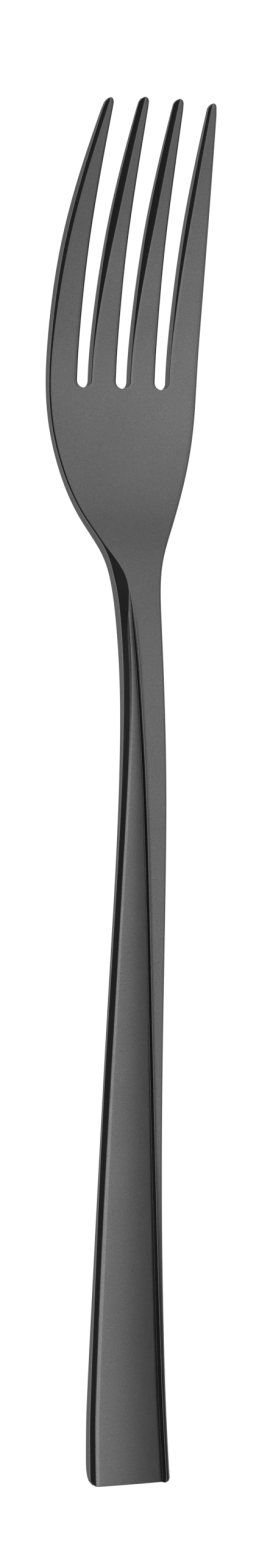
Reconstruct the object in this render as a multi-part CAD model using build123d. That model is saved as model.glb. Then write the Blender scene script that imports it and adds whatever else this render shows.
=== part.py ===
from build123d import *
import math
import os

import numpy as np

# A dinner fork lying on a table, concave side up. Millimetres: X runs across the fork, Y towards the
# tips of the tines and Z up from the table. The origin is on the table, midway along and across.

# Lengths along the fork, seen from above
TINE_LENGTH = 41.1  # from the tips to the centres of the round slot roots
PALM_LENGTH = 30.9
NECK_LENGTH = 28.0
HANDLE_LENGTH = 110.0

# Widths across the fork
TIP_SPREAD = 17.75  # over the outer edges of the outer tines, at their tips
HEAD_WIDTH = 24.4
SHOULDER_WIDTH = 7.25  # where the palm runs into the neck
NECK_WIDTH = 6.2
HANDLE_START_WIDTH = 6.8
HANDLE_END_WIDTH = 13.3

# Slots between the tines
ROOT_GAP = 2.25
TIP_GAP = 4.1
ROOT_PITCH = 6.4  # between the centre lines of neighbouring slots
TIP_PITCH = 5.6
TIP_ROUNDING = 0.45  # how far the corners of a tine's tip are rounded back
OUTER_SETBACK = 0.35  # by which the outer tines are shorter than the inner ones

# Heights of the underside above the table
TIP_LIFT = 17.0
SHOULDER_LIFT = 5.05
ARCH_LIFT = 7.25  # the top of the arch, in the neck
PAD_DEPTH = 0.15  # how far the underside of the handle's end is ground flat, to rest on the table

# Thicknesses, square to the surface
TIP_THICKNESS = 1.1
TINE_THICKNESS = 2.05  # past the middle of the tines
PALM_THICKNESS = 1.85
NECK_THICKNESS = 3.75
HANDLE_THICKNESS = 3.1  # past the middle of the handle
HANDLE_END_THICKNESS = 3.8
DISH = 0.2  # how much lower the middle of the head lies than its edges

# Edges: how far a bevel reaches across and down
EDGE_BEVEL = 0.25
INNER_BEVEL = 0.85  # on the left of the two inner tines, at its widest
OUTER_BEVEL = 0.5  # on the left of the two outer tines
LOWER_BEVEL = 0.2
TINE_LOWER_ACROSS = 0.35
TINE_LOWER_UP = 0.65
HANDLE_LOWER_ACROSS = 0.85
HANDLE_LOWER_UP = 1.5

# The handle's left side: a bevel up to the rim of a long panel, which a low step parts from the right facet
SHOULDER_BEVEL_ACROSS = 1.6
SHOULDER_BEVEL_DOWN = 1.0
NECK_BEVEL_ACROSS = 1.1
NECK_BEVEL_DOWN = 1.5
SIDE_BEVEL_ACROSS = 1.0
SIDE_BEVEL_DOWN = 1.12
END_BEVEL_ACROSS = 0.95
END_BEVEL_DOWN = 0.85
RIM_WIDTH = 1.1  # from the handle's left edge to the rim's inner edge
RIM_SLOPE = 6.0  # degrees
RIM_NECK_SLOPE = 14.0  # degrees, where the rim begins
STEP_HEIGHT = 0.58
STEP_RUN = 0.12
FACET_END_WIDTH = 0.8  # of the right facet, at the end of the handle
FACET_NECK_WIDTH = 4.65  # and in the neck, where the panel begins
FACET_END_SLOPE = 12.0  # degrees, falling to the right
LEFT_ROUNDING = 1.1  # corners of the handle's end, seen from above
RIGHT_ROUNDING = 0.9
TUCK = 0.35  # by which the left edge falls back from its flare at the handle's end
TUCK_LENGTH = 11.0
HEEL_LENGTH = 4.0  # of the rounding below the end's left corner

LOFT_STEP = 3.0  # spacing of the cross-sections
BEYOND = 5.0  # by which cutting tools pass the faces that they cut
CORNER_SHARE = 0.85  # of an end corner's radius that lies within the handle's width
HEEL_SHARE = 0.8  # of the left side's height that the rounding below takes away

# Places along the fork
Y_TIP = (TINE_LENGTH + PALM_LENGTH + NECK_LENGTH + HANDLE_LENGTH) / 2
Y_ROOT = Y_TIP - TINE_LENGTH
Y_SHOULDER = Y_ROOT - PALM_LENGTH
Y_HANDLE = Y_SHOULDER - NECK_LENGTH
Y_END = Y_HANDLE - HANDLE_LENGTH
TOP = TIP_LIFT + TINE_THICKNESS + NECK_THICKNESS + BEYOND  # above everything


def tine(share):
    """The place a share of the way up the tines."""
    return Y_ROOT + share * TINE_LENGTH


def palm(share):
    """The place a share of the way from the slot roots to the shoulder."""
    return Y_ROOT - share * PALM_LENGTH


def neck(share):
    """The place a share of the way from the shoulder to the handle."""
    return Y_SHOULDER - share * NECK_LENGTH


def handle(share):
    """The place a share of the way down the handle."""
    return Y_HANDLE - share * HANDLE_LENGTH


def mix(a, b, share):
    """The value a share of the way from a to b."""
    return a + (b - a) * share


def stations(start, end, step):
    """Evenly spaced places from start to end."""
    count = max(2, math.ceil(abs(end - start) / step))
    return [mix(start, end, i / count) for i in range(count + 1)]


def through(*points):
    """A smooth function through (place, value) points: a natural cubic spline."""
    x, v = (np.array(column) for column in zip(*sorted(points)))
    h = np.diff(x)
    rows = np.eye(len(x))
    right = np.zeros(len(x))
    for i in range(1, len(x) - 1):
        rows[i, i - 1 : i + 2] = h[i - 1], 2 * (h[i - 1] + h[i]), h[i]
        right[i] = 6 * ((v[i + 1] - v[i]) / h[i] - (v[i] - v[i - 1]) / h[i - 1])
    bend = np.linalg.solve(rows, right)

    def value(y):
        i = int(np.clip(np.searchsorted(x, y) - 1, 0, len(h) - 1))
        a, b = x[i + 1] - y, y - x[i]
        cubic = (bend[i] * a**3 + bend[i + 1] * b**3) / (6 * h[i])
        line = (v[i] / h[i] - bend[i] * h[i] / 6) * a + (v[i + 1] / h[i] - bend[i + 1] * h[i] / 6) * b
        return float(cubic + line)

    return value


half_width = through(
    (Y_TIP, TIP_SPREAD / 2),
    (tine(0.50), mix(TIP_SPREAD, HEAD_WIDTH, 0.80) / 2),
    (tine(0.12), HEAD_WIDTH / 2),
    (palm(0.235), mix(SHOULDER_WIDTH, HEAD_WIDTH, 0.936) / 2),
    (palm(0.45), mix(SHOULDER_WIDTH, HEAD_WIDTH, 0.768) / 2),
    (palm(0.695), mix(SHOULDER_WIDTH, HEAD_WIDTH, 0.424) / 2),
    (palm(0.87), mix(SHOULDER_WIDTH, HEAD_WIDTH, 0.115) / 2),
    (Y_SHOULDER, SHOULDER_WIDTH / 2),
    (neck(0.20), mix(NECK_WIDTH, SHOULDER_WIDTH, 0.18) / 2),
    (neck(0.50), NECK_WIDTH / 2),
    (Y_HANDLE, HANDLE_START_WIDTH / 2),
    (handle(0.40), mix(HANDLE_START_WIDTH, HANDLE_END_WIDTH, 0.345) / 2),
    (handle(0.75), mix(HANDLE_START_WIDTH, HANDLE_END_WIDTH, 0.68) / 2),
    (handle(0.91), mix(HANDLE_START_WIDTH, HANDLE_END_WIDTH, 0.877) / 2),
    (Y_END, HANDLE_END_WIDTH / 2),
)

lift = through(
    (Y_TIP, TIP_LIFT),
    (tine(0.75), 0.610 * TIP_LIFT),
    (tine(0.50), 0.306 * TIP_LIFT),
    (tine(0.25), 0.110 * TIP_LIFT),
    (Y_ROOT, 0.0),
    (palm(0.235), 0.0),
    (palm(0.45), 0.125 * SHOULDER_LIFT),
    (palm(0.695), 0.445 * SHOULDER_LIFT),
    (palm(0.87), 0.85 * SHOULDER_LIFT),
    (Y_SHOULDER, SHOULDER_LIFT),
    (neck(0.46), mix(SHOULDER_LIFT, ARCH_LIFT, 0.77)),
    (neck(0.85), ARCH_LIFT),
    (handle(0.16), 0.82 * ARCH_LIFT),
    (handle(0.40), 0.45 * ARCH_LIFT),
    (handle(0.60), 0.205 * ARCH_LIFT),
    (handle(0.77), 0.06 * ARCH_LIFT),
    (handle(0.91), -PAD_DEPTH),
    (Y_END, -PAD_DEPTH),
)
lowest = min(lift(y) for y in stations(tine(0.25), palm(0.44), LOFT_STEP / 10))

square_thickness = through(
    (Y_TIP, TIP_THICKNESS),
    (tine(0.70), TINE_THICKNESS),
    (Y_ROOT, PALM_THICKNESS),
    (palm(0.44), PALM_THICKNESS),
    (palm(0.87), mix(PALM_THICKNESS, NECK_THICKNESS, 0.5)),
    (neck(0.20), mix(PALM_THICKNESS, NECK_THICKNESS, 0.95)),
    (neck(0.60), NECK_THICKNESS),
    (Y_HANDLE, mix(NECK_THICKNESS, HANDLE_THICKNESS, 0.25)),
    (handle(0.30), mix(NECK_THICKNESS, HANDLE_THICKNESS, 0.85)),
    (handle(0.75), HANDLE_THICKNESS),
    (Y_END, HANDLE_END_THICKNESS),
)


def ease(y, start, end):
    """Rises smoothly from 0 at start to 1 at end."""
    t = min(max((y - start) / (end - start), 0.0), 1.0)
    return t * t * (3 - 2 * t)


def dish(y):
    """How much lower the middle of the head lies than its edges at y."""
    return DISH * ease(y, palm(0.80), palm(0.10)) * mix(1.0, 0.5, ease(y, tine(0.3), Y_TIP))


def left_bevel(y):
    """The bevel on the left edge, across and down. It opens at the shoulder and runs down the handle."""
    plain = mix(EDGE_BEVEL, OUTER_BEVEL, ease(y, Y_ROOT, tine(0.5)))
    opening = ease(y, palm(0.80), Y_SHOULDER)
    settling = ease(y, Y_SHOULDER, neck(0.40))
    narrowing = ease(y, neck(0.50), handle(0.15))
    ending = ease(y, handle(0.35), handle(0.75))
    across = mix(mix(plain, SHOULDER_BEVEL_ACROSS, opening), NECK_BEVEL_ACROSS, settling)
    down = mix(mix(plain, SHOULDER_BEVEL_DOWN, opening), NECK_BEVEL_DOWN, settling)
    across = mix(mix(across, SIDE_BEVEL_ACROSS, narrowing), END_BEVEL_ACROSS, ending)
    down = mix(mix(down, SIDE_BEVEL_DOWN, narrowing), END_BEVEL_DOWN, ending)
    return across, down


def left_side(y):
    """The left edge of the palm, neck and handle, which stops flaring near the handle's end."""
    return TUCK * max(1 - (y - Y_END) / TUCK_LENGTH, 0.0) ** 1.5 - half_width(y)


def lower_bevel(y):
    """The bevel below, across and up, which hides most of the handle's side."""
    growth = ease(y, palm(0.60), handle(0.20)) * mix(1.0, 0.7, ease(y, handle(0.45), handle(0.85)))
    return mix(LOWER_BEVEL, HANDLE_LOWER_ACROSS, growth), mix(LOWER_BEVEL, HANDLE_LOWER_UP, growth)


def left_lower_bevel(y):
    """The bevel below on the left, across and up, which opens into a rounding at the handle's end."""
    across, up = lower_bevel(y)
    near = min(max(1 - (y - Y_END) / HEEL_LENGTH, 0.0), 1.0)
    side = thickness(y) - left_bevel(y)[1] - up
    heel = HEEL_SHARE * side * (1 - math.sqrt(1 - near**2))
    return across + heel / 2, up + heel


def slot_lower_bevel(y):
    """The bevel below along the slots, across and up, which grows along the tines."""
    growth = ease(y, Y_ROOT, tine(0.5)) * mix(1.0, 0.6, ease(y, tine(0.7), Y_TIP))
    return mix(LOWER_BEVEL, TINE_LOWER_ACROSS, growth), mix(LOWER_BEVEL, TINE_LOWER_UP, growth)


def slot_bevel(y, widest):
    """The bevel on the left of a tine, across and down. It widens from the root and narrows at the tip."""
    growth = mix(0.12, 1.0, ease(y, tine(0.05), tine(0.62))) * mix(1.0, 0.75, ease(y, tine(0.62), Y_TIP))
    return widest * growth, widest * growth


def step_height(y):
    """How far the panel lies below the right facet. It comes out of the neck's surface as a tongue."""
    growth = mix(-0.35, 1.0, ease(y, palm(0.90), neck(0.35)))
    return STEP_HEIGHT * growth * mix(1.0, 1.45, ease(y, handle(0.30), Y_END))


def facet_slope(y):
    """How steeply the right facet falls to the right, in degrees."""
    return FACET_END_SLOPE * ease(y, handle(0.45), Y_END)


def rim_slope(y):
    """How steeply the rim beside the panel rises to the right, in degrees."""
    return mix(RIM_NECK_SLOPE, RIM_SLOPE, ease(y, Y_SHOULDER, handle(0.12)))


# The widths of the right facet and of the rim beside the panel, and the rim's depth as a share of the step's
facet_width = through(
    (Y_SHOULDER, 1.12 * FACET_NECK_WIDTH),
    (neck(0.20), FACET_NECK_WIDTH),
    (neck(0.70), mix(FACET_END_WIDTH, FACET_NECK_WIDTH, 0.83)),
    (handle(0.12), mix(FACET_END_WIDTH, FACET_NECK_WIDTH, 0.62)),
    (handle(0.45), mix(FACET_END_WIDTH, FACET_NECK_WIDTH, 0.23)),
    (handle(0.75), mix(FACET_END_WIDTH, FACET_NECK_WIDTH, 0.04)),
    (Y_END, FACET_END_WIDTH),
)
rim_width = through(
    (Y_SHOULDER, RIM_WIDTH),
    (neck(0.50), RIM_WIDTH),
    (handle(0.12), 0.95 * RIM_WIDTH),
    (handle(0.40), 1.08 * RIM_WIDTH),
    (Y_END, 1.15 * RIM_WIDTH),
)
rim_share = through(
    (Y_SHOULDER, 0.90),
    (neck(0.50), 0.90),
    (Y_HANDLE, 0.80),
    (handle(0.30), 0.53),
    (handle(0.60), 0.34),
    (Y_END, 0.20),
)


def underside(y):
    """The height of the underside above the table, which the bowl of the head just touches."""
    return lift(y) - lowest


def thickness(y):
    """The thickness measured straight up, where the underside climbs at an angle."""
    reach = LOFT_STEP / 6
    climb = math.atan2(underside(y + reach) - underside(y - reach), 2 * reach)
    return square_thickness(y) / math.cos(climb)


def dished(x, y):
    """How far the dish lifts the surface above its middle line."""
    return dish(y) * (x / half_width(y)) ** 2


def dished_edge(start, end, y):
    """An edge across the fork that follows the dish between two points of one section."""
    (x0, z0), (x1, z1) = start, end
    hollow = dish(y) / half_width(y) ** 2 * (x1 - x0) ** 2 / 2
    return Bezier((x0, y, z0), ((x0 + x1) / 2, y, (z0 + z1) / 2 - hollow), (x1, y, z1))


def crest(y):
    """Where the right facet begins. In the palm, where there is no step, it keeps its share of the width."""
    at = min(y, Y_SHOULDER)
    return half_width(y) * (1 - facet_width(at) / half_width(at))


def section(y, left, right, left_edge, right_edge, left_lower, right_lower, ridges=()):
    """One cross-section between two sides, as a closed wire. Its edges are bevels, across and down or up.

    The top falls to the right of its ridge, if it has one, with the slope of the right facet."""
    bottom = underside(y)
    fall = math.tan(math.radians(facet_slope(y)))

    def upper(x):
        return bottom + thickness(y) + dished(x, y) - sum(fall * max(x - ridge, 0) for ridge in ridges)

    def under(x):
        return bottom + dished(x, y)

    def straight(points):
        return [Line((x0, y, z0), (x1, y, z1)) for (x0, z0), (x1, z1) in zip(points, points[1:])]

    def curved(points):
        return [dished_edge(start, end, y) for start, end in zip(points, points[1:])]

    top = [(x, upper(x)) for x in (left + left_edge[0], *ridges, right - right_edge[0])]
    left_side = [
        (left + left_lower[0], under(left + left_lower[0])),
        (left, under(left) + left_lower[1]),
        (left, top[0][1] - left_edge[1]),
        top[0],
    ]
    right_side = [
        top[-1],
        (right, top[-1][1] - right_edge[1]),
        (right, under(right) + right_lower[1]),
        (right - right_lower[0], under(right - right_lower[0])),
    ]
    bottom_edge = curved([right_side[-1], left_side[0]])
    return Wire([*straight(left_side), *curved(top), *straight(right_side), *bottom_edge])


def body_section(y):
    """The cross-section of the palm, neck and handle, before the panel is cut."""
    edge = (EDGE_BEVEL, EDGE_BEVEL)
    lowers = (left_lower_bevel(y), lower_bevel(y))
    ridge = crest(y) - STEP_RUN / 2
    return section(y, left_side(y), half_width(y), left_bevel(y), edge, *lowers, [ridge])


def slot_edges(y):
    """The edges of the three slots across the fork at y, from left to right."""
    share = (y - Y_ROOT) / TINE_LENGTH
    pitch = mix(ROOT_PITCH, TIP_PITCH, share**2)
    gap = mix(ROOT_GAP, TIP_GAP, share**1.5)
    return [side for i in (-1, 0, 1) for side in (i * pitch - gap / 2, i * pitch + gap / 2)]


def tine_edges(y, index):
    """The two sides of a tine at y."""
    w = half_width(y)
    edges = [-w, *slot_edges(y), w]
    return edges[2 * index], edges[2 * index + 1]


def tine_section(y, index):
    left, right = tine_edges(y, index)
    left_edge = left_bevel(y) if index == 0 else slot_bevel(y, OUTER_BEVEL if index == 3 else INNER_BEVEL)
    left_lower = lower_bevel(y) if index == 0 else slot_lower_bevel(y)
    right_lower = lower_bevel(y) if index == 3 else slot_lower_bevel(y)
    return section(y, left, right, left_edge, (EDGE_BEVEL, EDGE_BEVEL), left_lower, right_lower)


def prism(outline, low, high):
    """The solid between two heights inside an outline seen from above."""
    face = Face(Wire([edge for piece in outline for edge in piece.edges()]))
    return extrude(Pos(0, 0, low) * face, amount=high - low, dir=(0, 0, 1))


def bar(start, end, wire_at, closer=0.0):
    """A solid through the cross-sections between two places along the fork, closer together near its end."""
    turn = end + closer
    places = stations(start, turn, LOFT_STEP)
    if closer:
        places += stations(turn, end, LOFT_STEP / 2)[1:]
    return Solid.make_loft([wire_at(y) for y in places])


def make_tine(index):
    """One tine, with its tip rounded as seen from above."""
    tine_bar = bar(Y_ROOT, Y_TIP, lambda y: tine_section(y, index))
    tip = Y_TIP - (OUTER_SETBACK if index in (0, 3) else 0.0)
    left, right = tine_edges(tip, index)
    middle = (left + right) / 2
    half = (right - left) / 2
    radius = (half**2 + TIP_ROUNDING**2) / (2 * TIP_ROUNDING)
    chord = (half + radius) / 2  # the arc ends a little outside the tine
    turn = tip - radius + math.sqrt(radius**2 - chord**2)
    reach = HEAD_WIDTH
    foot = Y_ROOT - BEYOND
    outline = [
        ThreePointArc((middle - chord, turn), (middle, tip), (middle + chord, turn)),
        Polyline(
            (middle + chord, turn), (middle + reach, turn), (middle + reach, foot),
            (middle - reach, foot), (middle - reach, turn), (middle - chord, turn),
        ),
    ]
    return tine_bar & prism(outline, -BEYOND, TOP)


def panel_tool():
    """What is cut away above the handle's panel, from the tongue in the neck to the handle's end."""
    wires = []
    for y in stations(palm(0.90), Y_END - BEYOND, LOFT_STEP):
        at = max(y, Y_END)
        w = half_width(at)
        top = underside(at) + thickness(at)
        foot = crest(at) - STEP_RUN
        rim = left_side(at) + rim_width(at)
        out = -w - BEYOND
        step = step_height(at)
        rim_z = top - rim_share(at) * step
        points = [
            (out, rim_z - (rim - out) * math.tan(math.radians(rim_slope(at)))),
            (rim, rim_z),
            (foot, top - step),
            (foot + 2 * STEP_RUN, top - step + 2 * STEP_HEIGHT),
            (foot + 2 * STEP_RUN, top + BEYOND),
            (out, top + BEYOND),
        ]
        wires.append(Wire(Polyline(*[(x, y, z) for x, z in points], close=True)))
    return Solid.make_loft(wires)


def end_outline():
    """What is kept of the handle, seen from above: its end has rounded corners, cut across its sides."""
    w = half_width(Y_END)
    reach = HEAD_WIDTH
    head = Y_TIP + BEYOND
    inner_left = left_side(Y_END) + CORNER_SHARE * LEFT_ROUNDING
    inner_right = w - CORNER_SHARE * RIGHT_ROUNDING
    left = (inner_left - LEFT_ROUNDING, Y_END + LEFT_ROUNDING)
    right = (inner_right + RIGHT_ROUNDING, Y_END + RIGHT_ROUNDING)
    return [
        Polyline(left, (-reach, left[1]), (-reach, head), (reach, head), (reach, right[1]), right),
        RadiusArc(right, (inner_right, Y_END), RIGHT_ROUNDING),
        Line((inner_right, Y_END), (inner_left, Y_END)),
        RadiusArc((inner_left, Y_END), left, LEFT_ROUNDING),
    ]


def make_palm():
    """The solid part of the head, with the round roots of the slots cut into its front."""
    palm_bar = bar(Y_ROOT, Y_SHOULDER, body_section)
    for i in (-1, 0, 1):
        palm_bar -= Pos(i * ROOT_PITCH, Y_ROOT, 0) * Rot(0, 0, 90) * Cylinder(ROOT_GAP / 2, 2 * TOP)
    return palm_bar


def make_neck():
    return bar(Y_SHOULDER, Y_HANDLE, body_section) - panel_tool()


def make_handle():
    """The handle with its panel, its rounded end and the flat pad below the end, where it rests."""
    handle_bar = bar(Y_HANDLE, Y_END, body_section, closer=2 * LOFT_STEP) - panel_tool()
    return handle_bar & prism(end_outline(), 0, TOP)


os.makedirs("parts", exist_ok=True)
nodes = {"palm": make_palm(), "neck": make_neck(), "handle": make_handle()}
for index, name in enumerate(("outer_left", "inner_left", "inner_right", "outer_right")):
    nodes["tine_" + name] = make_tine(index)
for name, shape in nodes.items():
    export_step(shape, f"parts/{name}.step")
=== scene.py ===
import math

import bmesh
import bpy
import numpy as np
from mathutils import Matrix, Vector
from mathutils.geometry import delaunay_2d_cdt


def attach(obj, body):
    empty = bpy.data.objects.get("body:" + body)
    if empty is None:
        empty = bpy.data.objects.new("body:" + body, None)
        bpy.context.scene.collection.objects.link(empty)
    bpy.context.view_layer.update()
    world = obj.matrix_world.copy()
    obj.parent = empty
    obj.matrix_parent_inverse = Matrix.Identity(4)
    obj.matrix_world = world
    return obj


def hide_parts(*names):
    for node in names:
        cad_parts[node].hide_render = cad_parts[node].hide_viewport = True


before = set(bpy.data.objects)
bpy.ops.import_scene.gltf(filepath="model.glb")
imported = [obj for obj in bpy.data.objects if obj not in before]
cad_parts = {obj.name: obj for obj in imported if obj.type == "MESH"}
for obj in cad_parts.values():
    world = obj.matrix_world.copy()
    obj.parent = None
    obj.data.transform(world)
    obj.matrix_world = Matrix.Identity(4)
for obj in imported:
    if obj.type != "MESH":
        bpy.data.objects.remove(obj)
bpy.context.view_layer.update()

# The fork's sizes, the same as the solids' and in millimetres: X across, Y towards the tips, Z upwards
TINE_LENGTH, PALM_LENGTH, NECK_LENGTH, HANDLE_LENGTH = 41.1, 30.9, 28.0, 110.0
TIP_SPREAD, HEAD_WIDTH, SHOULDER_WIDTH, NECK_WIDTH = 17.75, 24.4, 7.25, 6.2
HANDLE_START_WIDTH, HANDLE_END_WIDTH = 6.8, 13.3
ROOT_GAP, TIP_GAP, ROOT_PITCH, TIP_PITCH = 2.25, 4.1, 6.4, 5.6
OUTER_LEFT, OUTER_RIGHT = 0, 3  # tines are numbered from the left
TIP_ROUNDING, OUTER_SETBACK = 0.45, 0.35
TIP_LIFT, SHOULDER_LIFT, ARCH_LIFT, PAD_DEPTH = 17.0, 5.05, 7.25, 0.15
TIP_THICKNESS, TINE_THICKNESS, PALM_THICKNESS = 1.1, 2.05, 1.85
NECK_THICKNESS, HANDLE_THICKNESS, HANDLE_END_THICKNESS, DISH = 3.75, 3.1, 3.8, 0.2
EDGE_BEVEL, INNER_BEVEL, OUTER_BEVEL, LOWER_BEVEL = 0.25, 0.85, 0.5, 0.2
TINE_LOWER = (0.35, 0.65)  # bevels below, across and up
HANDLE_LOWER = (0.85, 1.5)
SHOULDER_BEVEL = (1.6, 1.0)  # bevels above, across and down
NECK_BEVEL = (1.1, 1.5)
SIDE_BEVEL = (1.0, 1.12)
END_BEVEL = (0.95, 0.85)
RIM_WIDTH, RIM_SLOPE, RIM_NECK_SLOPE = 1.1, 6.0, 14.0
STEP_HEIGHT, STEP_RUN = 0.58, 0.12
FACET_END_WIDTH, FACET_NECK_WIDTH, FACET_END_SLOPE = 0.8, 4.65, 12.0
STEP_START, STEP_END = -0.35, 1.45  # shares of the step's height at the shoulder and the handle's end
TUCK, TUCK_LENGTH, TUCK_CURVE = 0.35, 11.0, 1.5  # how the left edge falls back at the handle's end
HEEL_SHARE, HEEL_LENGTH = 0.8, 4.0  # rounding below the end's left corner: share of the side, length
PITCH_CURVE, GAP_CURVE = 2, 1.5  # how the tines' spacing and the slots' width change along them
LOWEST_STEP = 0.3  # between the places where the bowl's lowest point is looked for

# Finish that only the looks need, in millimetres
SOFTENING = (0.07, 0.07)  # how far edges are rounded over, on both sides
SIDE_SOFTENING = (0.14, 0.14)  # on the left of the tines
RIM_ROUNDING = (0.06, 0.06)  # the crease between the handle's rim and its panel
CREST_ROUNDING = (0.12, 0.12)  # the head of the handle's step
CREST_LIP, CREST_REACH = 0.055, 0.75  # how far the facet rises towards the step, and from where
HEAD_SIDE_ROUNDING = (0.12, 0.12)  # between the head's left side and its bevel, down and up from there
SIDE_ROUNDING = (0.2, 0.1)  # between the handle's left side and its bevel
GUTTER, GUTTER_REACH = 0.07, 0.3  # how far the panel sinks along the foot of the step, and from where
FACET_TILT = 1.0  # degrees by which the right facet falls to the right
CROWN = 0.015  # rise of the handle's panel, as a share of its width
NOSE, NOSE_SLOPE = 0.38, 0.8  # rounding of the tips of the tines, and the steepest rise of one
END_EDGE = 0.22  # rounding of the edge round the handle's end
LEFT_CORNER, RIGHT_CORNER = 0.95, 0.75  # of the handle's end, seen from above
APART = 0.03  # least distance between neighbouring creases

# How finely the meshes follow the forms, in millimetres and degrees
TINE_STEP, PALM_STEP, NECK_STEP, HANDLE_STEP = 0.6, 0.6, 0.5, 1.0  # between rows of points
SEAM_STEP = 0.1  # from a seam to the next row
TIP_START, CORNER_START = 1.6, 2.4  # where tips and the handle's corners start, back from their ends
TIP_SHARES = (0.25, 0.5, 0.75, 1.0)  # rows from there on
CORNER_SHARES = (0.2, 0.4, 0.6, 0.8, 1.0)
NOSE_TURNS = (22.5, 45.0, 67.5, 84.0)  # rows that round over the tip of a tine
END_TURNS = (22.5, 45.0, 67.5, 90.0)  # and the handle's end
ROOT_TURNS = (0, 6, 14, 24, 36, 48, 60, 70, 80, 90)  # rows round the bottoms of the slots
ARC_SHARES = (0.0, 0.25, 0.5, 0.75, 1.0)  # points round an edge
ARC_LIMIT = 0.48  # the most of a face that the rounding of its edge takes
CAP_FIRST, CAP_EVERY = 6, 4  # which points of an end have one on its middle line
TINY = 1e-9  # keeps a length from being zero
CAP_TOLERANCE, MERGE = 1e-7, 2e-6  # in millimetres and metres

# The steel's tones, the scales of its patterns per metre, and its finish
CLOUD_DARK, CLOUD_LIGHT = (0.155, 0.155, 0.158, 1), (0.175, 0.175, 0.177, 1)
CLOUD_SPAN = (0.3, 0.7)  # where in the cloudy pattern the two tones lie
RUBBED_TONE, RUBBED_SHARE = (0.3, 0.3, 0.3, 1), 0.08  # of the sharpest edges
GRAZING_TINT = (0.36, 0.36, 0.36, 1)  # of reflections at grazing angles
CLOUD_SCALE, GRAIN_SCALE, BRUSHING_SCALE = 60, 6800, 1900
CLOUD_DETAIL, GRAIN_DETAIL, BRUSHING_DETAIL = 3, 2, 3
BRUSHING_STRETCH = (1, 0.16, 1)  # it runs lengthwise
GRAIN_TONE = (0.6, 1.4)  # by which the grain darkens and brightens the tone
ROUGHNESS = (0.17, 0.27)
GRAIN_BUMP, GRAIN_DEPTH = 0.12, 0.00002  # strength, and metres

# The stage, in metres
PAPER_WHITE, GLOW_WHITE, ROOM_GREY = (0.9, 0.9, 0.9, 1), (1, 1, 1, 1), (0.075, 0.075, 0.075, 1)
FLOOR_GLOW, BACKDROP_GLOW = 0.92, 1.0
FLOOR_LEFT, FLOOR_REACH = -0.06, 4.0  # it ends close on the left, where the steel mirrors the dark room
FLOOR_DROP = 0.0001  # by which it lies below the fork
BACKDROP_RADIUS, DOME_RADIUS = 5.5, 2.5

# Soft light overhead: bands from left to right, each in stretches from the handle's end to the tips that
# are named for what mirrors them. Angles are degrees from straight up, to the right and towards the
# tips. The last number is a band's strength, or a stretch's share of it.
BANDS = (
    ("bright", (4, 15.5), 1.75),
    ("high", (15.5, 22.5), 0.92),
    ("middle", (22.5, 28.5), 0.8),
    ("low", (28.5, 37), 0.24),
    ("faint", (37, 50), 0.07),
)
STRETCHES = (
    ("tips_low", (-84, -58), 0.6),
    ("tips", (-58, -44), 0.68),
    ("tines_high", (-44, -32), 0.78),
    ("tines", (-32, -20), 0.88),
    ("over", (-20, 12), 1.0),
    ("palm", (12, 22), 0.92),
    ("neck", (22, 34), 0.82),
    ("neck_high", (34, 48), 0.74),
    ("neck_low", (48, 74), 0.66),
)
OTHER_LIGHTS = (
    ("left_over", (-32, -12), (-40, 40), 0.5),
    ("right_low", (62, 86), (-50, 50), 0.45),
    ("front_low", (-38, 2), (50, 82), 0.5),
    ("back_low", (-38, 2), (-82, -50), 0.5),
)
FILL_STRENGTH, FILL_ANGLE = 0.5, 130

# The camera, fitted to the photo: above the middle of the fork, leaning to the left of it
LEAN, ROLL, DISTANCE = math.radians(22.0), math.radians(-0.153), 0.665
TARGET = Vector((0.002794, 0.002204, 0))
PIXELS_PER_METRE, PHOTO_HEIGHT, SENSOR = 10672.7, 2576, 36.0
CLIP = (0.01, 100.0)

Y_TIP = (TINE_LENGTH + PALM_LENGTH + NECK_LENGTH + HANDLE_LENGTH) / 2
Y_ROOT = Y_TIP - TINE_LENGTH
Y_SHOULDER = Y_ROOT - PALM_LENGTH
Y_HANDLE = Y_SHOULDER - NECK_LENGTH
Y_END = Y_HANDLE - HANDLE_LENGTH
Y_NOTCH = Y_ROOT - ROOT_GAP / 2  # the bottom of the slots


def tine(share):
    return Y_ROOT + share * TINE_LENGTH


def palm(share):
    return Y_ROOT - share * PALM_LENGTH


def neck(share):
    return Y_SHOULDER - share * NECK_LENGTH


def handle(share):
    return Y_HANDLE - share * HANDLE_LENGTH


def mix(a, b, share):
    return a + (b - a) * share


def mix_pair(a, b, share):
    return mix(a[0], b[0], share), mix(a[1], b[1], share)


def scaled(pair, share):
    return pair[0] * share, pair[1] * share


def ease(y, start, end):
    """A share that goes smoothly from 0 at start to 1 at end."""
    t = min(max((y - start) / (end - start), 0.0), 1.0)
    return t * t * (3 - 2 * t)


def spaced(start, end, step):
    """Evenly spaced places from start to end."""
    count = max(1, math.ceil(abs(end - start) / step))
    return [mix(start, end, i / count) for i in range(count + 1)]


def through(*points):
    """A smooth function through (place, value) points: a natural cubic spline."""
    x, v = (np.array(column) for column in zip(*sorted(points)))
    h = np.diff(x)
    rows = np.eye(len(x))
    right = np.zeros(len(x))
    for i in range(1, len(x) - 1):
        rows[i, i - 1 : i + 2] = h[i - 1], 2 * (h[i - 1] + h[i]), h[i]
        right[i] = 6 * ((v[i + 1] - v[i]) / h[i] - (v[i] - v[i - 1]) / h[i - 1])
    bend = np.linalg.solve(rows, right)

    def value(y):
        i = int(np.clip(np.searchsorted(x, y) - 1, 0, len(h) - 1))
        a, b = x[i + 1] - y, y - x[i]
        cubic = (bend[i] * a**3 + bend[i + 1] * b**3) / (6 * h[i])
        start, end = v[i] / h[i] - bend[i] * h[i] / 6, v[i + 1] / h[i] - bend[i + 1] * h[i] / 6
        return float(cubic + (start * a + end * b))

    return value


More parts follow.
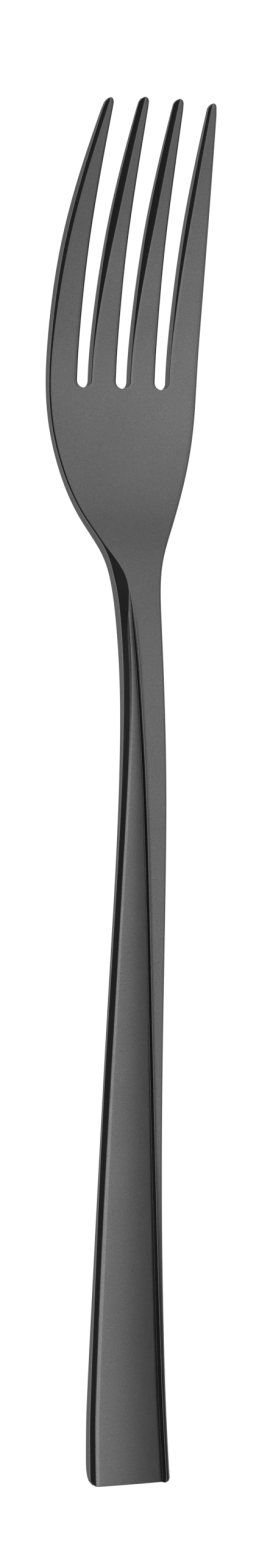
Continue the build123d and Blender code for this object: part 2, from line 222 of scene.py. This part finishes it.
half_width = through(
    (Y_TIP, TIP_SPREAD / 2),
    (tine(0.50), mix(TIP_SPREAD, HEAD_WIDTH, 0.80) / 2),
    (tine(0.12), HEAD_WIDTH / 2),
    (palm(0.235), mix(SHOULDER_WIDTH, HEAD_WIDTH, 0.936) / 2),
    (palm(0.45), mix(SHOULDER_WIDTH, HEAD_WIDTH, 0.768) / 2),
    (palm(0.695), mix(SHOULDER_WIDTH, HEAD_WIDTH, 0.424) / 2),
    (palm(0.87), mix(SHOULDER_WIDTH, HEAD_WIDTH, 0.115) / 2),
    (Y_SHOULDER, SHOULDER_WIDTH / 2),
    (neck(0.20), mix(NECK_WIDTH, SHOULDER_WIDTH, 0.18) / 2),
    (neck(0.50), NECK_WIDTH / 2),
    (Y_HANDLE, HANDLE_START_WIDTH / 2),
    (handle(0.40), mix(HANDLE_START_WIDTH, HANDLE_END_WIDTH, 0.345) / 2),
    (handle(0.75), mix(HANDLE_START_WIDTH, HANDLE_END_WIDTH, 0.68) / 2),
    (handle(0.91), mix(HANDLE_START_WIDTH, HANDLE_END_WIDTH, 0.877) / 2),
    (Y_END, HANDLE_END_WIDTH / 2),
)

lift = through(
    (Y_TIP, TIP_LIFT),
    (tine(0.75), 0.610 * TIP_LIFT),
    (tine(0.50), 0.306 * TIP_LIFT),
    (tine(0.25), 0.110 * TIP_LIFT),
    (Y_ROOT, 0.0),
    (palm(0.235), 0.0),
    (palm(0.45), 0.125 * SHOULDER_LIFT),
    (palm(0.695), 0.445 * SHOULDER_LIFT),
    (palm(0.87), 0.85 * SHOULDER_LIFT),
    (Y_SHOULDER, SHOULDER_LIFT),
    (neck(0.46), mix(SHOULDER_LIFT, ARCH_LIFT, 0.77)),
    (neck(0.85), ARCH_LIFT),
    (handle(0.16), 0.82 * ARCH_LIFT),
    (handle(0.40), 0.45 * ARCH_LIFT),
    (handle(0.60), 0.205 * ARCH_LIFT),
    (handle(0.77), 0.06 * ARCH_LIFT),
    (handle(0.91), -PAD_DEPTH),
    (Y_END, -PAD_DEPTH),
)
lowest = min(lift(y) for y in spaced(tine(0.25), palm(0.44), LOWEST_STEP))

square_thickness = through(
    (Y_TIP, TIP_THICKNESS),
    (tine(0.70), TINE_THICKNESS),
    (Y_ROOT, PALM_THICKNESS),
    (palm(0.44), PALM_THICKNESS),
    (palm(0.87), mix(PALM_THICKNESS, NECK_THICKNESS, 0.5)),
    (neck(0.20), mix(PALM_THICKNESS, NECK_THICKNESS, 0.95)),
    (neck(0.60), NECK_THICKNESS),
    (Y_HANDLE, mix(NECK_THICKNESS, HANDLE_THICKNESS, 0.25)),
    (handle(0.30), mix(NECK_THICKNESS, HANDLE_THICKNESS, 0.85)),
    (handle(0.75), HANDLE_THICKNESS),
    (Y_END, HANDLE_END_THICKNESS),
)

facet_width = through(
    (Y_SHOULDER, 1.12 * FACET_NECK_WIDTH),
    (neck(0.20), FACET_NECK_WIDTH),
    (neck(0.70), mix(FACET_END_WIDTH, FACET_NECK_WIDTH, 0.83)),
    (handle(0.12), mix(FACET_END_WIDTH, FACET_NECK_WIDTH, 0.62)),
    (handle(0.45), mix(FACET_END_WIDTH, FACET_NECK_WIDTH, 0.23)),
    (handle(0.75), mix(FACET_END_WIDTH, FACET_NECK_WIDTH, 0.04)),
    (Y_END, FACET_END_WIDTH),
)

rim_width = through(
    (Y_SHOULDER, RIM_WIDTH),
    (neck(0.50), RIM_WIDTH),
    (handle(0.12), 0.95 * RIM_WIDTH),
    (handle(0.40), 1.08 * RIM_WIDTH),
    (Y_END, 1.15 * RIM_WIDTH),
)

rim_share = through(
    (Y_SHOULDER, 0.90),
    (neck(0.50), 0.90),
    (Y_HANDLE, 0.80),
    (handle(0.30), 0.53),
    (handle(0.60), 0.34),
    (Y_END, 0.20),
)


def underside(y):
    """The height of the underside, which the bowl of the head just brings down to the table."""
    return lift(y) - lowest


def climb(y):
    """How steeply the underside climbs towards the tips."""
    return underside(y + 0.5) - underside(y - 0.5)


def thickness(y):
    """The thickness measured straight up."""
    return square_thickness(y) * math.hypot(1, climb(y))


def dish(y):
    """How far the head's middle lies below its edges."""
    return DISH * ease(y, palm(0.80), palm(0.10)) * mix(1.0, 0.5, ease(y, tine(0.3), Y_TIP))


def left_bevel(y):
    """The bevel on the left edge, across and down. It opens at the shoulder and runs down the handle."""
    plain = mix(EDGE_BEVEL, OUTER_BEVEL, ease(y, Y_ROOT, tine(0.5)))
    opening = mix_pair((plain, plain), SHOULDER_BEVEL, ease(y, palm(0.80), Y_SHOULDER))
    settled = mix_pair(opening, NECK_BEVEL, ease(y, Y_SHOULDER, neck(0.40)))
    narrowed = mix_pair(settled, SIDE_BEVEL, ease(y, neck(0.50), handle(0.15)))
    return mix_pair(narrowed, END_BEVEL, ease(y, handle(0.35), handle(0.75)))


def lower_bevel(y):
    """The bevel below, across and up."""
    growth = ease(y, palm(0.60), handle(0.20)) * mix(1.0, 0.7, ease(y, handle(0.45), handle(0.85)))
    return mix_pair((LOWER_BEVEL, LOWER_BEVEL), HANDLE_LOWER, growth)


def slot_lower_bevel(y):
    """The bevel below along the slots, across and up."""
    growth = ease(y, Y_ROOT, tine(0.5)) * mix(1.0, 0.6, ease(y, tine(0.7), Y_TIP))
    return mix_pair((LOWER_BEVEL, LOWER_BEVEL), TINE_LOWER, growth)


def slot_bevel(y, widest):
    """The bevel on the left of a tine, across and down. It is widest at about two thirds of the tine."""
    growth = mix(0.12, 1.0, ease(y, tine(0.05), tine(0.62)))
    growth *= mix(1.0, 0.75, ease(y, tine(0.62), Y_TIP))
    return widest * growth, widest * growth


class Section:
    """The fork's cross-section at one place along it: the heights of its top and its underside."""

    def __init__(self, y):
        self.y = y
        self.w = half_width(y)
        self.left = -self.w + TUCK * max(1 - (y - Y_END) / TUCK_LENGTH, 0.0) ** TUCK_CURVE
        self.bottom = underside(y)
        self.level = self.bottom + thickness(y)
        self.bowl = dish(y) / self.w**2
        at = min(y, Y_SHOULDER)
        self.foot = self.w * (1 - facet_width(at) / half_width(at)) - STEP_RUN
        risen = ease(y, palm(0.90), neck(0.35))
        tilt = FACET_TILT * risen + FACET_END_SLOPE * ease(y, handle(0.45), Y_END)
        self.fall = math.tan(math.radians(tilt))
        self.across, self.down = left_bevel(y)
        self.rim = self.left + rim_width(at)
        slope = mix(RIM_NECK_SLOPE, RIM_SLOPE, ease(y, Y_SHOULDER, handle(0.12)))
        self.slope = math.tan(math.radians(slope))
        growth = mix(STEP_START, 1.0, risen)
        self.step = STEP_HEIGHT * growth * mix(1.0, STEP_END, ease(y, handle(0.30), Y_END))
        self.rim_z = self.level - rim_share(at) * self.step
        self.lip = CREST_LIP * ease(y, Y_SHOULDER, neck(0.35))
        self.gutter = GUTTER * ease(y, handle(0.30), handle(0.80))

    def under(self, x):
        return max(self.bottom + self.bowl * x * x, 0.0)

    def blank(self, x):
        """The top before the handle's panel is cut: left bevel, dish, right facet's fall and lip."""
        edge = self.left + self.across
        level = self.level + self.bowl * x * x - self.fall * max(x - self.foot - STEP_RUN / 2, 0.0)
        if x > self.foot:
            level += self.lip * max(1 - (x - self.foot) / CREST_REACH, 0.0) ** 2
        return level - self.down / self.across * max(edge - x, 0.0)

    def cut(self, x):
        """The panel's rim, its gently crowned floor and the step at its right."""
        if self.y > palm(0.90):
            return math.inf
        if x <= self.rim:
            return self.rim_z - (self.rim - x) * self.slope
        if x >= self.foot:
            return self.level - self.step - self.gutter + (x - self.foot) * STEP_HEIGHT / STEP_RUN
        t = (x - self.rim) / (self.foot - self.rim)
        crown = CROWN * (self.foot - self.rim) * 4 * t * (1 - t)
        gutter = self.gutter * max(1 - (self.foot - x) / GUTTER_REACH, 0.0)
        return mix(self.rim_z, self.level - self.step, t) + crown - gutter

    def top(self, x):
        return min(self.blank(x), self.cut(x))

    def creases(self):
        """Where the top bends, from the left: at the bevel, the rim, and the step's foot and head."""
        bevel = self.left + self.across
        places = sorted((self.left, bevel, self.rim, self.foot, self.foot + 2 * STEP_RUN))
        depth = [self.blank(x) - self.cut(x) for x in places]
        cut = [i for i, d in enumerate(depth) if d > 0]
        if not cut:
            return [bevel + i * APART for i in range(4)]

        def crossing(i):
            return mix(places[i], places[i + 1], depth[i] / (depth[i] - depth[i + 1]))

        first = crossing(cut[0] - 1)
        last = crossing(cut[-1])
        start = min(first, bevel)
        rim = max(min(max(self.rim, first), last), start + APART)
        foot = max(min(self.foot, last), rim + APART)
        return [start, rim, foot, max(last, foot + APART)]


def trace(corners, edges):
    """A closed outline of (x, z, edge wear) points, and where the points along each edge lie in it.

    A corner (x, z, reach) is rounded over within its reach, back and on. The edge after it has points at
    shares of its length, and follows a surface, the height over x, unless it is straight."""

    def towards(i, other, surface, reach):
        (x, z, _), (x1, z1, _) = corners[i], corners[other]
        share = reach / max(math.hypot(x1 - x, z1 - z), TINY)
        return mix(x, x1, share), surface(mix(x, x1, share)) if surface else mix(z, z1, share)

    arcs = []
    for i, (x, z, reach) in enumerate(corners):
        before, after = i - 1, (i + 1) % len(corners)
        (x0, z0, _), (x1, z1, _) = corners[before], corners[after]
        back, on = math.hypot(x - x0, z - z0), math.hypot(x1 - x, z1 - z)
        a = towards(i, before, edges[before][1], min(reach[0], ARC_LIMIT * back))
        b = towards(i, after, edges[i][1], min(reach[1], ARC_LIMIT * on))
        turn = ((z - z0) * (x1 - x) - (x - x0) * (z1 - z)) / max(back * on, TINY)
        arcs.append([
            (
                (1 - t) ** 2 * a[0] + 2 * t * (1 - t) * x + t * t * b[0],
                (1 - t) ** 2 * a[1] + 2 * t * (1 - t) * z + t * t * b[1],
                max(turn, 0.0) * 4 * t * (1 - t),
            )
            for t in ARC_SHARES
        ])
    points, spans = [], []
    for i, arc in enumerate(arcs):
        points += arc
        (x0, z0, _), (x1, z1, _) = arc[-1], arcs[(i + 1) % len(arcs)][0]
        shares, surface = edges[i]
        spans.append((len(points), len(points) + len(shares)))
        for f in shares:
            x = mix(x0, x1, f)
            points.append((x, surface(x) if surface else mix(z0, z1, f), 0.0))
    return points, spans


def even(parts):
    """Shares that divide an edge evenly."""
    return [i / parts for i in range(1, parts)]


BAR_SHARES = even(8)
PANEL_SHARES = [*even(12), 0.94, 0.97, 0.985]  # closer together at the step's foot
TOP_EDGE, LOW_EDGE = -6, -2  # which of an outline's edges are its top and its underside


def outline(s, left, right, left_edge, right_edge, lowers, shares, softness=(1.0, 1.0)):
    """The outline of a section between two sides. With no left edge given, the left has the creases.

    Shares say where the points along the top and the underside lie. Softness is the share of the full
    rounding that the edges of the left and right sides have."""
    (left_across, left_up), (right_across, right_up) = lowers
    top_shares, low_shares = shares
    left_soft, right_soft = (scaled(SOFTENING, share) for share in softness)
    end = right - right_edge[0]
    if left_edge is None:
        side = mix_pair(HEAD_SIDE_ROUNDING, SIDE_ROUNDING, ease(s.y, palm(0.7), neck(0.3)))
        bevel, rim, foot, head = s.creases()
        corners = [
            (left, s.under(left) + left_up, SOFTENING),
            (left, s.blank(left), side),
            (bevel, s.top(bevel), SOFTENING),
            (rim, s.top(rim), RIM_ROUNDING),
            (foot, s.top(foot), SOFTENING),
            (head, s.top(head), CREST_ROUNDING),
        ]
        edges = [
            (even(3), None),
            (even(4), None),
            (even(4), s.top),
            (PANEL_SHARES, s.top),
            (even(3), None),
            (top_shares, s.top),
        ]
    else:
        start = left + left_edge[0]
        corners = [
            (left, s.under(left) + left_up, left_soft),
            (left, s.top(start) - left_edge[1], scaled(SIDE_SOFTENING, softness[0])),
            (start, s.top(start), left_soft),
        ]
        edges = [(even(3), None), (even(4), None), (top_shares, s.top)]
    corners += [
        (end, s.top(end), right_soft),
        (right, s.top(end) - right_edge[1], right_soft),
        (right, s.under(right) + right_up, right_soft),
        (right - right_across, s.under(right - right_across), right_soft),
        (left + left_across, s.under(left + left_across), left_soft),
    ]
    edges += [([], None), (even(3), None), ([], None), (low_shares, s.under), ([], None)]
    return trace(corners, edges)


def slots(y):
    """The edges of the slots from left to right, and how far the slots are open at their round roots."""
    share = max(y - Y_ROOT, 0.0) / TINE_LENGTH
    below = max(Y_ROOT - y, 0.0) / (ROOT_GAP / 2)
    opening = math.sqrt(max(1 - below**2, 0.0))
    pitch = mix(ROOT_PITCH, TIP_PITCH, share**PITCH_CURVE)
    gap = mix(ROOT_GAP, TIP_GAP, share**GAP_CURVE) * opening
    return [side for i in (-1, 0, 1) for side in (i * pitch - gap / 2, i * pitch + gap / 2)], opening


def bar_outline(index, y):
    """The outline of one tine, or of its root between the slots' round ends."""
    s = Section(y)
    edges, opening = slots(y)
    sides = [-s.w, *edges, s.w]
    plain = (EDGE_BEVEL, EDGE_BEVEL)
    first, last = index == OUTER_LEFT, index == OUTER_RIGHT
    widest = OUTER_BEVEL if last else INNER_BEVEL
    left_edge = None if first else scaled(slot_bevel(y, widest), opening)
    right_edge = plain if last else scaled(plain, opening)
    slot_lower = scaled(slot_lower_bevel(y), opening)
    lowers = (lower_bevel(y) if first else slot_lower, lower_bevel(y) if last else slot_lower)
    softness = (1.0 if first else opening, 1.0 if last else opening)
    left, right = sides[2 * index], sides[2 * index + 1]
    return outline(s, left, right, left_edge, right_edge, lowers, (BAR_SHARES, BAR_SHARES), softness)


def body_outline(y, shares):
    """The outline of the palm below the slots, the neck or the handle."""
    s = Section(y)
    across, up = lower_bevel(y)
    near = min(max(1 - (y - Y_END) / HEEL_LENGTH, 0.0), 1.0)
    heel = HEEL_SHARE * (thickness(y) - s.down - up) * (1 - math.sqrt(1 - near**2))
    lowers = ((across + heel / 2, up + heel), (across, up))
    return outline(s, s.left, s.w, None, (EDGE_BEVEL, EDGE_BEVEL), lowers, shares)


def body_shares():
    """Where the body's points lie on its top and underside, so that they meet the bars' at the slots."""
    middles = [i * ROOT_PITCH for i in (-1, 0, 1)]
    points, spans = body_outline(Y_NOTCH, ([], []))
    found = []
    for edge in (TOP_EDGE, LOW_EDGE):
        at = spans[edge][0]
        start, end = points[at - 1][0], points[at][0]
        places = list(middles)
        for index in range(4):
            bar, bar_spans = bar_outline(index, Y_NOTCH)
            places += [x for x, _, _ in bar[slice(*bar_spans[edge])]]
        found.append(sorted((x - start) / (end - start) for x in places))
    return found


BODY_SHARES = body_shares()


def row(outline_points, y):
    """A row of points (x, y, z, edge wear) at one place along the fork."""
    return [(x, y, z, wear) for x, z, wear in outline_points]


def bar_row(index, y):
    return row(bar_outline(index, y)[0], y)


def body_row(y):
    return row(body_outline(y, BODY_SHARES)[0], y)


def seamed(start, end, step):
    """Places from one seam to another, with a row close to each."""
    near = math.copysign(SEAM_STEP, end - start)
    return [start, *spaced(start + near, end - near, step), end]


def round_over(rows, centre, half, radius, turns, ahead):
    """Rows that round over an end. They close in on its centre (x, z) as they move ahead (y, z)."""
    first = rows[-1]
    for turn in turns:
        inset = radius * (1 - math.cos(math.radians(turn)))
        on = radius * math.sin(math.radians(turn))
        narrow, thin = 1 - inset / half[0], 1 - inset / half[1]
        rows.append([
            (mix(centre[0], x, narrow), y + on * ahead[0], mix(centre[1], z, thin) + on * ahead[1], wear)
            for x, y, z, wear in first
        ])


def middle_of(points, axis):
    """The middle of points along an axis, and half their extent."""
    values = [p[axis] for p in points]
    return (min(values) + max(values)) / 2, (max(values) - min(values)) / 2


def tine_rows(index):
    """The rows of one tine, from the slot roots to its rounded nose."""
    tip = Y_TIP - (OUTER_SETBACK if index in (OUTER_LEFT, OUTER_RIGHT) else 0.0)
    start, stop = tip - TIP_START, tip - NOSE
    rows = [bar_row(index, y) for y in [Y_ROOT, *spaced(Y_ROOT + SEAM_STEP, start, TINE_STEP)]]
    middle, half = middle_of(bar_row(index, stop), 0)
    radius = (half**2 + TIP_ROUNDING**2) / (2 * TIP_ROUNDING)

    def back(x):
        return radius - math.sqrt(radius**2 - min(abs(x - middle), half) ** 2)

    for share in TIP_SHARES:
        rows.append([
            (x, y - share * back(x), z - share * back(x) * climb(y), wear)
            for x, y, z, wear in bar_row(index, mix(start, stop, share))
        ])
    centre, tall = middle_of(rows[-1], 2)
    slope = min(climb(tip - 1), NOSE_SLOPE)
    round_over(rows, (middle, centre), (half, tall), NOSE, NOSE_TURNS, (1.0, slope))
    return rows


def handle_rows():
    """The rows of the handle, down to its end with rounded corners and a rounded-over edge."""
    start, stop = Y_END + CORNER_START, Y_END + END_EDGE
    w, left = half_width(Y_END), Section(Y_END).left

    def back(x):
        corners = (LEFT_CORNER + left - x, LEFT_CORNER), (RIGHT_CORNER - w + x, RIGHT_CORNER)
        past, radius = max(corners)
        return radius - math.sqrt(radius**2 - min(max(past, 0.0), radius) ** 2)

    rows = [body_row(y) for y in [Y_HANDLE, *spaced(Y_HANDLE - SEAM_STEP, start, HANDLE_STEP)]]
    for share in CORNER_SHARES:
        straight = body_row(mix(start, stop, share))
        rows.append([(x, y + share * back(x), z, wear) for x, y, z, wear in straight])
    centre, tall = middle_of(rows[-1], 2)
    round_over(rows, (0.0, centre), (w, tall), END_EDGE, END_TURNS, (-1.0, 0.0))
    return rows


def palm_rows():
    """The rows of the head: its body up to the bottoms of the slots, and the four roots between them."""
    roots = [Y_ROOT - ROOT_GAP / 2 * math.cos(math.radians(turn)) for turn in ROOT_TURNS]
    bars = [[bar_row(i, y) for y in roots] for i in range(4)]
    return bars, [body_row(y) for y in seamed(Y_NOTCH, Y_SHOULDER, PALM_STEP)]


def end_cap(points):
    """Triangles that close an end. Points on its middle line keep its rounded corners smooth."""
    flat = [Vector((x, z)) for x, _, z, _ in points]
    ends = sorted((x, y) for x, y, _, _ in points)
    level = middle_of(points, 2)[0]
    inner = ends[CAP_FIRST:-CAP_FIRST:CAP_EVERY]
    flat += [Vector((x, level)) for x, _ in inner]
    edges = [(i, (i + 1) % len(points)) for i in range(len(points))]
    _, _, faces, origins, _, _ = delaunay_2d_cdt(flat, edges, [], 1, CAP_TOLERANCE)
    return [(x, y, level, 0.0) for x, y in inner], [[origins[i][0] for i in face] for face in faces]


def put(name, data):
    """A new object in the scene."""
    made = bpy.data.objects.new(name, data)
    bpy.context.collection.objects.link(made)
    return made


def make_piece(node, sheets, seams, capped=False):
    """One closed mesh from sheets of rows of points, standing for a CAD node.

    Seams are the rows of each sheet that a flat face closes. A cap closes the last row smoothly."""
    shape = bmesh.new()
    worn = shape.verts.layers.float.new("wear")

    def add(points):
        made = []
        for x, y, z, wear in points:
            made.append(shape.verts.new((x / 1000, y / 1000, z / 1000)))
            made[-1][worn] = wear
        return made

    for rows, closed in zip(sheets, seams):
        loops = [add(points) for points in rows]
        for a, b in zip(loops, loops[1:]):
            for i in range(len(a)):
                j = (i + 1) % len(a)
                shape.faces.new((a[i], a[j], b[j], b[i])).smooth = True
        for at in closed:
            shape.faces.new(loops[at]).smooth = False
    if capped:
        inner, faces = end_cap(sheets[-1][-1])
        corners = loops[-1] + add(inner)
        for face in faces:
            shape.faces.new([corners[i] for i in face]).smooth = True
    bmesh.ops.remove_doubles(shape, verts=shape.verts, dist=MERGE)
    bmesh.ops.recalc_face_normals(shape, faces=shape.faces)
    for edge in shape.edges:
        if len({face.smooth for face in edge.link_faces}) > 1:
            edge.smooth = False
    mesh = bpy.data.meshes.new(node + "_skin")
    shape.to_mesh(mesh)
    shape.free()
    piece = put(node + "_skin", mesh)
    piece.data.materials.append(dark_steel)
    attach(piece, "root")
    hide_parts(node)


def make_steel():
    """Dark satin steel: a faint cloudy tone, fine grain, lengthwise brushing, edges rubbed brighter."""
    material = bpy.data.materials.new("dark_steel_satin")
    material.use_nodes = True
    nodes, links = material.node_tree.nodes, material.node_tree.links
    shader = nodes["Principled BSDF"]
    shader.inputs["Metallic"].default_value = 1.0
    shader.inputs["Specular Tint"].default_value = GRAZING_TINT
    place = nodes.new("ShaderNodeTexCoord").outputs["Object"]

    def noise(scale, detail, stretch=(1, 1, 1)):
        mapping = nodes.new("ShaderNodeMapping")
        mapping.inputs["Scale"].default_value = stretch
        links.new(place, mapping.inputs["Vector"])
        texture = nodes.new("ShaderNodeTexNoise")
        texture.inputs["Scale"].default_value = scale
        texture.inputs["Detail"].default_value = detail
        links.new(mapping.outputs["Vector"], texture.inputs["Vector"])
        return texture.outputs["Fac"]

    def ramp(source, low, high):
        step = nodes.new("ShaderNodeMapRange")
        step.inputs["To Min"].default_value = low
        step.inputs["To Max"].default_value = high
        links.new(source, step.inputs["Value"])
        return step.outputs["Result"]

    cloud = noise(CLOUD_SCALE, CLOUD_DETAIL)
    grain = noise(GRAIN_SCALE, GRAIN_DETAIL)
    brushing = noise(BRUSHING_SCALE, BRUSHING_DETAIL, BRUSHING_STRETCH)
    wear = nodes.new("ShaderNodeAttribute")
    wear.attribute_name = "wear"

    tone = nodes.new("ShaderNodeValToRGB")
    dark, light = tone.color_ramp.elements
    dark.position, light.position = CLOUD_SPAN
    dark.color, light.color = CLOUD_DARK, CLOUD_LIGHT
    links.new(cloud, tone.inputs["Fac"])
    rubbed = nodes.new("ShaderNodeMix")
    rubbed.data_type = "RGBA"
    links.new(ramp(wear.outputs["Fac"], 0.0, RUBBED_SHARE), rubbed.inputs["Factor"])
    links.new(tone.outputs["Color"], rubbed.inputs["A"])
    rubbed.inputs["B"].default_value = RUBBED_TONE
    speckled = nodes.new("ShaderNodeMix")
    speckled.data_type = "RGBA"
    speckled.blend_type = "MULTIPLY"
    speckled.inputs["Factor"].default_value = 1.0
    links.new(rubbed.outputs["Result"], speckled.inputs["A"])
    links.new(ramp(grain, *GRAIN_TONE), speckled.inputs["B"])
    links.new(speckled.outputs["Result"], shader.inputs["Base Color"])
    links.new(ramp(brushing, *ROUGHNESS), shader.inputs["Roughness"])
    bump = nodes.new("ShaderNodeBump")
    bump.inputs["Strength"].default_value = GRAIN_BUMP
    bump.inputs["Distance"].default_value = GRAIN_DEPTH
    links.new(grain, bump.inputs["Height"])
    links.new(bump.outputs["Normal"], shader.inputs["Normal"])
    return material


dark_steel = make_steel()

palm_bars, palm_body = palm_rows()
make_piece("palm", [*palm_bars, palm_body], [[-1]] * 5)
neck_rows = [body_row(y) for y in seamed(Y_SHOULDER, Y_HANDLE, NECK_STEP)]
make_piece("neck", [neck_rows], [[0, -1]])
make_piece("handle", [handle_rows()], [[0]], capped=True)
for index, side in enumerate(("outer_left", "inner_left", "inner_right", "outer_right")):
    make_piece("tine_" + side, [tine_rows(index)], [[0]], capped=True)


def white_material(name, settings):
    """A white surface that glows, with its other settings."""
    material = bpy.data.materials.new(name)
    material.use_nodes = True
    shader = material.node_tree.nodes["Principled BSDF"]
    for socket, value in {"Base Color": PAPER_WHITE, "Emission Color": GLOW_WHITE, **settings}.items():
        shader.inputs[socket].default_value = value
    return material


# A matt white floor, lit from below like a light table
floor_mesh = bpy.data.meshes.new("floor")
floor_corners = [(x, y, 0) for x in (FLOOR_LEFT, FLOOR_REACH) for y in (-FLOOR_REACH, FLOOR_REACH)]
floor_mesh.from_pydata(floor_corners, [], [(0, 2, 3, 1)])
floor = put("floor", floor_mesh)
floor.location.z = -FLOOR_DROP
floor.data.materials.append(white_material(
    "floor_white", {"Roughness": 0.9, "Specular IOR Level": 0.0, "Emission Strength": FLOOR_GLOW}
))

# A white backdrop all round, which the steel doesn't mirror
backdrop_shape = bmesh.new()
bmesh.ops.create_uvsphere(backdrop_shape, u_segments=32, v_segments=16, radius=BACKDROP_RADIUS)
backdrop_mesh = bpy.data.meshes.new("backdrop")
backdrop_shape.to_mesh(backdrop_mesh)
backdrop_shape.free()
backdrop = put("backdrop", backdrop_mesh)
backdrop.data.materials.append(white_material("backdrop_white", {"Emission Strength": BACKDROP_GLOW}))
backdrop.visible_glossy = False
backdrop.visible_diffuse = False
backdrop.visible_shadow = False

# Light: a dark room, and soft light overhead that fades to the right
world = bpy.data.worlds.new("room")
bpy.context.scene.world = world
world.use_nodes = True
world.node_tree.nodes["Background"].inputs["Color"].default_value = ROOM_GREY


def soft_patch(name, side, along, radiance):
    """A patch of soft light on a dome. It spans two angles to the right and two towards the tips."""
    turn, spread = math.radians(sum(side) / 2), math.radians(side[1] - side[0]) / 2
    tilt, reach = math.radians(sum(along) / 2), math.radians(along[1] - along[0]) / 2
    light = bpy.data.lights.new(name, "AREA")
    light.shape = "RECTANGLE"
    light.size = 2 * DOME_RADIUS * math.tan(spread)
    light.size_y = 2 * DOME_RADIUS * math.cos(turn) * math.tan(reach)
    light.energy = radiance * math.pi * light.size * light.size_y
    lamp = put(name, light)
    turned = Matrix.Rotation(-tilt, 4, "X") @ Matrix.Rotation(turn, 4, "Y")
    lamp.matrix_world = turned @ Matrix.Translation((0, 0, DOME_RADIUS))
    lamp.visible_camera = False
    lamp.visible_diffuse = False


for band, side, radiance in BANDS:
    for stretch, along, share in STRETCHES:
        soft_patch(f"{band}_{stretch}", side, along, share * radiance)
for name, side, along, radiance in OTHER_LIGHTS:
    soft_patch(name, side, along, radiance)

# Light from all over the sky for the floor, which the steel doesn't mirror
fill = bpy.data.lights.new("fill", "SUN")
fill.energy = FILL_STRENGTH
fill.angle = math.radians(FILL_ANGLE)
fill_lamp = put("fill", fill)
fill_lamp.visible_glossy = False

across = Vector((math.cos(LEAN), 0, math.sin(LEAN)))
along = Vector((0, 1, 0))
away = Vector((-math.sin(LEAN), 0, math.cos(LEAN)))
right = across * math.cos(ROLL) + along * math.sin(ROLL)
up = along * math.cos(ROLL) - across * math.sin(ROLL)
camera_data = bpy.data.cameras.new("camera")
camera_data.sensor_fit = "VERTICAL"
camera_data.sensor_height = SENSOR
camera_data.lens = SENSOR * DISTANCE * PIXELS_PER_METRE / PHOTO_HEIGHT
camera_data.clip_start, camera_data.clip_end = CLIP
camera = put("camera", camera_data)
facing = Matrix((right, up, away)).transposed().to_4x4()
camera.matrix_world = Matrix.Translation(TARGET + away * DISTANCE) @ facing
bpy.context.scene.camera = camera
bpy.context.scene.view_settings.view_transform = "Standard"
